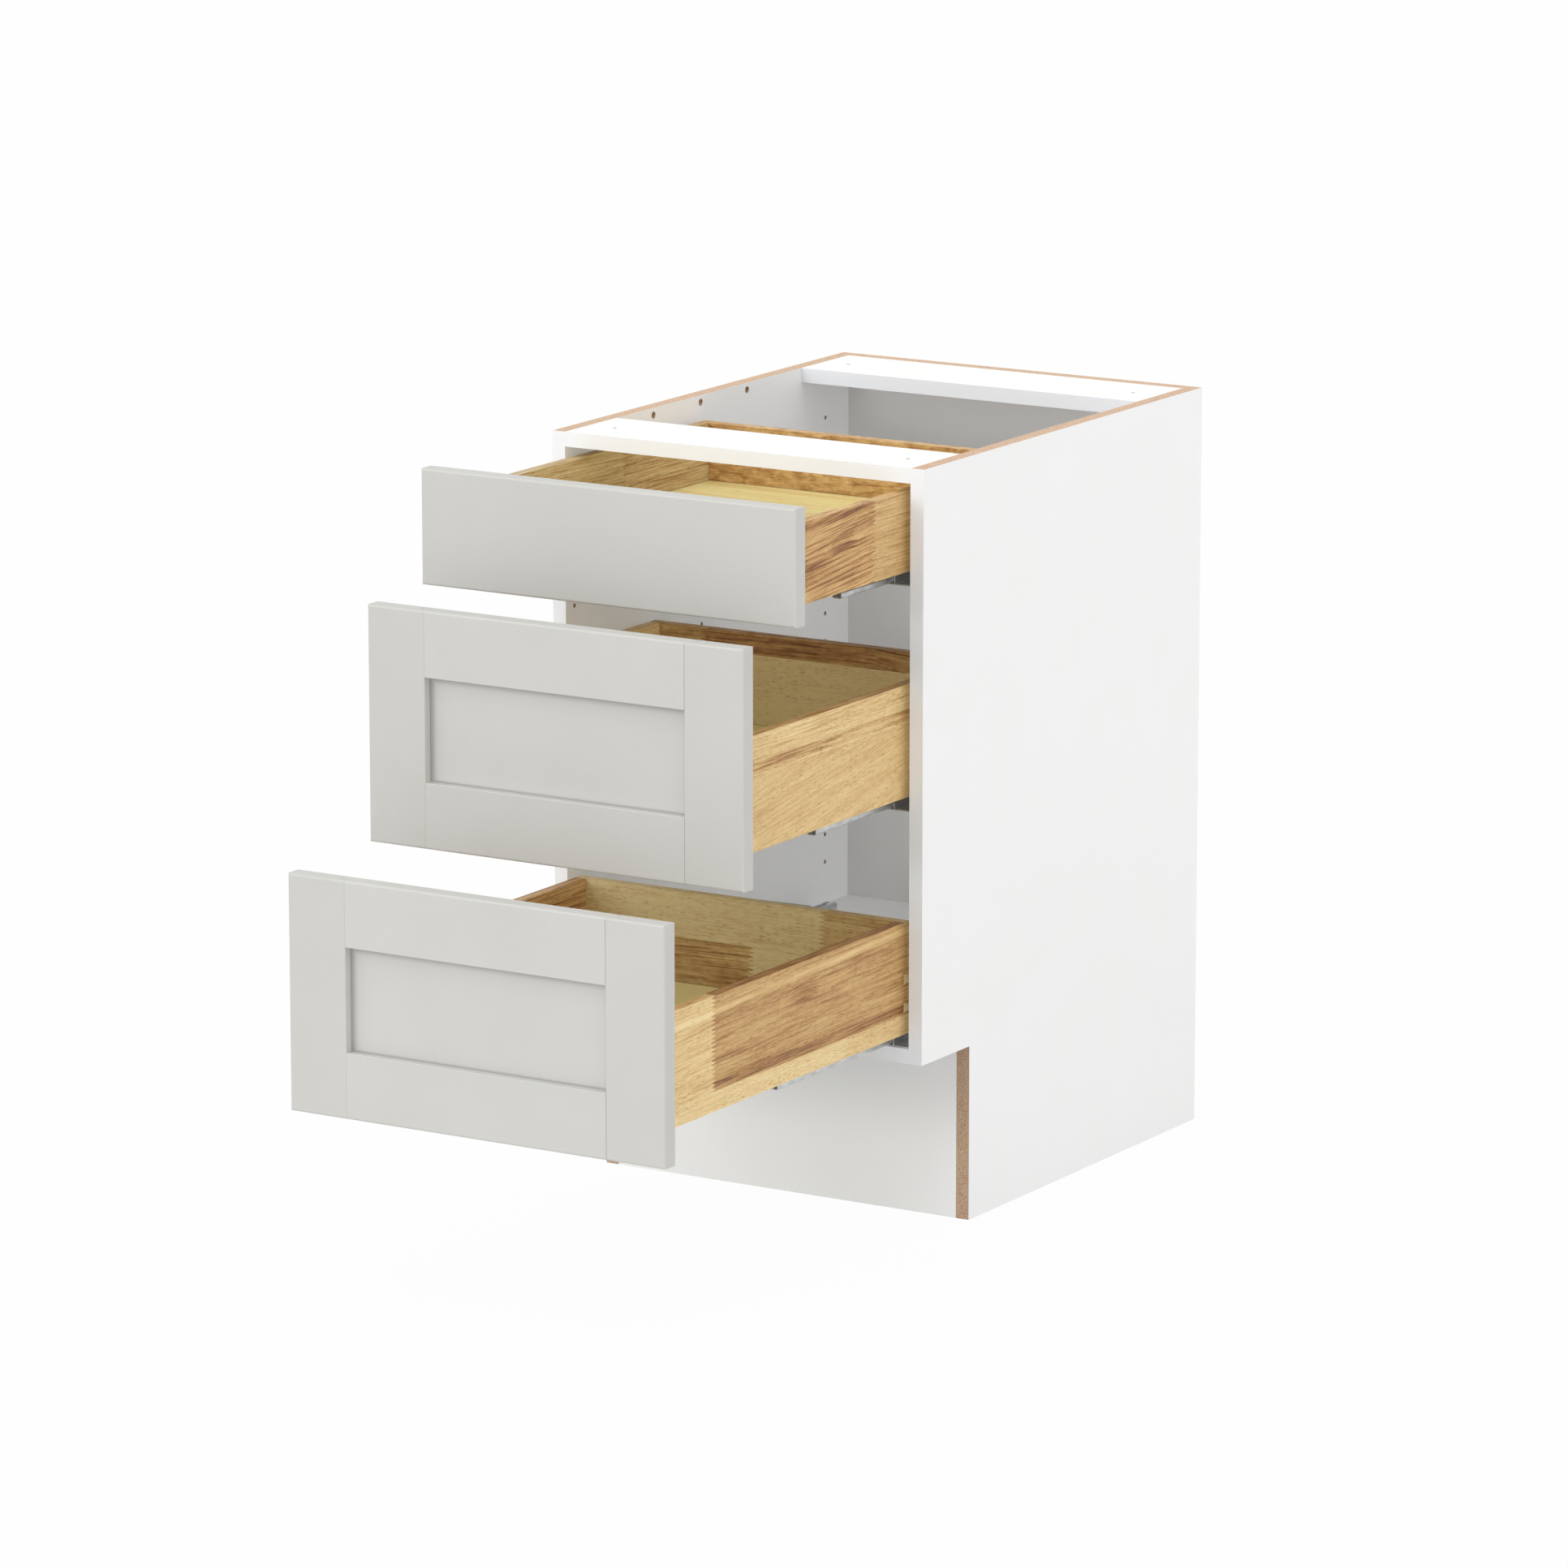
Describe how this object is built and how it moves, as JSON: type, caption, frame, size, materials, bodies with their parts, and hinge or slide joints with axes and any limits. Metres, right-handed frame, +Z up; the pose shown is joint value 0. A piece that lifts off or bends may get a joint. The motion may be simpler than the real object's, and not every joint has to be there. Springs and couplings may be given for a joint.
{
  "type": "base cabinet with drawers",
  "caption": "Low frameless base cabinet with a tall toe space and drawers on full-extension runners: a slab front above framed fronts, dovetailed wooden boxes.",
  "frame": {"origin": "on the wall plane at floor level, in the middle of the cabinet's width: the middle of the back panel's lower rear edge", "axes": "+Z up, -Y the way the drawers open, +X to the right of someone facing the drawers"},
  "size_m": [0.4572, 1.1026, 0.8255],
  "materials": {
    "melamine_board": "white melamine-faced particleboard, satin",
    "painted_board": "pale grey paint on board, satin",
    "hardwood": "finger-jointed light hardwood, clear matt lacquer",
    "plywood": "pale plywood, clear matt lacquer",
    "zinc_steel": "zinc-plated sheet steel",
    "clip_plastic": "grey moulded plastic, matt"
  },
  "bodies": {
    "cabinet": {"side_panel_left": "melamine_board", "side_panel_right": "melamine_board", "bottom_panel": "melamine_board", "back_panel": "melamine_board", "toe_kick_board": "melamine_board", "front_stretcher": "melamine_board", "rear_stretcher": "melamine_board", "top_runner_cabinet_left": "zinc_steel", "top_runner_cabinet_right": "zinc_steel", "middle_runner_cabinet_left": "zinc_steel", "middle_runner_cabinet_right": "zinc_steel", "bottom_runner_cabinet_left": "zinc_steel", "bottom_runner_cabinet_right": "zinc_steel"},
    "top_drawer": {"top_drawer_front": "painted_board", "top_box_side_left": "hardwood", "top_box_side_right": "hardwood", "top_box_front": "hardwood", "top_box_back": "hardwood", "top_box_bottom": "plywood", "top_runner_drawer_left": "zinc_steel", "top_runner_drawer_right": "zinc_steel", "top_locking_clip_left": "clip_plastic", "top_locking_clip_right": "clip_plastic"},
    "top_slides": {"top_runner_slide_left": "zinc_steel", "top_runner_slide_right": "zinc_steel"},
    "middle_drawer": {"middle_front_stile_left": "painted_board", "middle_front_stile_right": "painted_board", "middle_front_rail_top": "painted_board", "middle_front_rail_bottom": "painted_board", "middle_front_panel": "painted_board", "middle_box_side_left": "hardwood", "middle_box_side_right": "hardwood", "middle_box_front": "hardwood", "middle_box_back": "hardwood", "middle_box_bottom": "plywood", "middle_runner_drawer_left": "zinc_steel", "middle_runner_drawer_right": "zinc_steel", "middle_locking_clip_left": "clip_plastic", "middle_locking_clip_right": "clip_plastic"},
    "middle_slides": {"middle_runner_slide_left": "zinc_steel", "middle_runner_slide_right": "zinc_steel"},
    "bottom_drawer": {"bottom_front_stile_left": "painted_board", "bottom_front_stile_right": "painted_board", "bottom_front_rail_top": "painted_board", "bottom_front_rail_bottom": "painted_board", "bottom_front_panel": "painted_board", "bottom_box_side_left": "hardwood", "bottom_box_side_right": "hardwood", "bottom_box_front": "hardwood", "bottom_box_back": "hardwood", "bottom_box_bottom": "plywood", "bottom_runner_drawer_left": "zinc_steel", "bottom_runner_drawer_right": "zinc_steel", "bottom_locking_clip_left": "clip_plastic", "bottom_locking_clip_right": "clip_plastic"},
    "bottom_slides": {"bottom_runner_slide_left": "zinc_steel", "bottom_runner_slide_right": "zinc_steel"}
  },
  "joints": [
    {"name": "top_drawer_travel", "type": "slide", "parent": "cabinet", "child": "top_drawer", "axis": [0, -1, 0], "range_m": [-0.2317, 0.2663]},
    {"name": "top_slides_travel", "type": "slide", "parent": "cabinet", "child": "top_slides", "axis": [0, -1, 0], "range_m": [-0.1163, 0.1337]},
    {"name": "middle_drawer_travel", "type": "slide", "parent": "cabinet", "child": "middle_drawer", "axis": [0, -1, 0], "range_m": [-0.3324, 0.1656]},
    {"name": "middle_slides_travel", "type": "slide", "parent": "cabinet", "child": "middle_slides", "axis": [0, -1, 0], "range_m": [-0.1667, 0.0833]},
    {"name": "bottom_drawer_travel", "type": "slide", "parent": "cabinet", "child": "bottom_drawer", "axis": [0, -1, 0], "range_m": [-0.4816, 0.0164]},
    {"name": "bottom_slides_travel", "type": "slide", "parent": "cabinet", "child": "bottom_slides", "axis": [0, -1, 0], "range_m": [-0.2413, 0.0087]}
  ],
  "couplings": [
    {"joint": "top_slides_travel", "follows": "top_drawer_travel", "ratio": 0.5},
    {"joint": "middle_slides_travel", "follows": "middle_drawer_travel", "ratio": 0.5},
    {"joint": "bottom_slides_travel", "follows": "bottom_drawer_travel", "ratio": 0.5}
  ]
}
